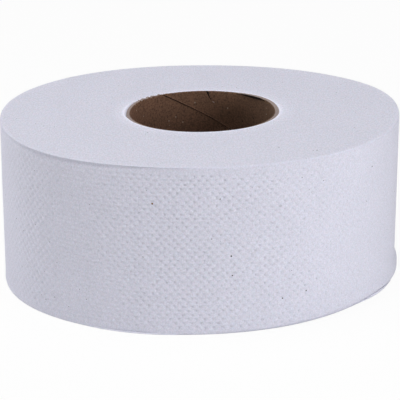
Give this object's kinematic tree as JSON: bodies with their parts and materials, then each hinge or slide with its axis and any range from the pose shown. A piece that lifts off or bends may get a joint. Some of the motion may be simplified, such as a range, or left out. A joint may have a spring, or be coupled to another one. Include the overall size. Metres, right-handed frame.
{
  "type": "toilet paper roll",
  "caption": "Wide jumbo roll of white bath tissue wound on a spiral board tube, with an open spindle bore, standing on its end.",
  "frame": {"origin": "on the axis of the tube's bore, level with the roll's lower end", "axes": "+Z along the tube's axis, upwards as the roll stands; -Y towards the side the picture shows"},
  "size_m": [0.2306, 0.2297, 0.094],
  "materials": {
    "core_board": "matte unbleached board with a faint fibre mottle",
    "tissue_paper": "soft matte tissue with a fine dot emboss and a few recycled-fibre specks"
  },
  "bodies": {
    "root": {"core_tube": "core_board", "tissue_winding": "tissue_paper"}
  },
  "joints": []
}
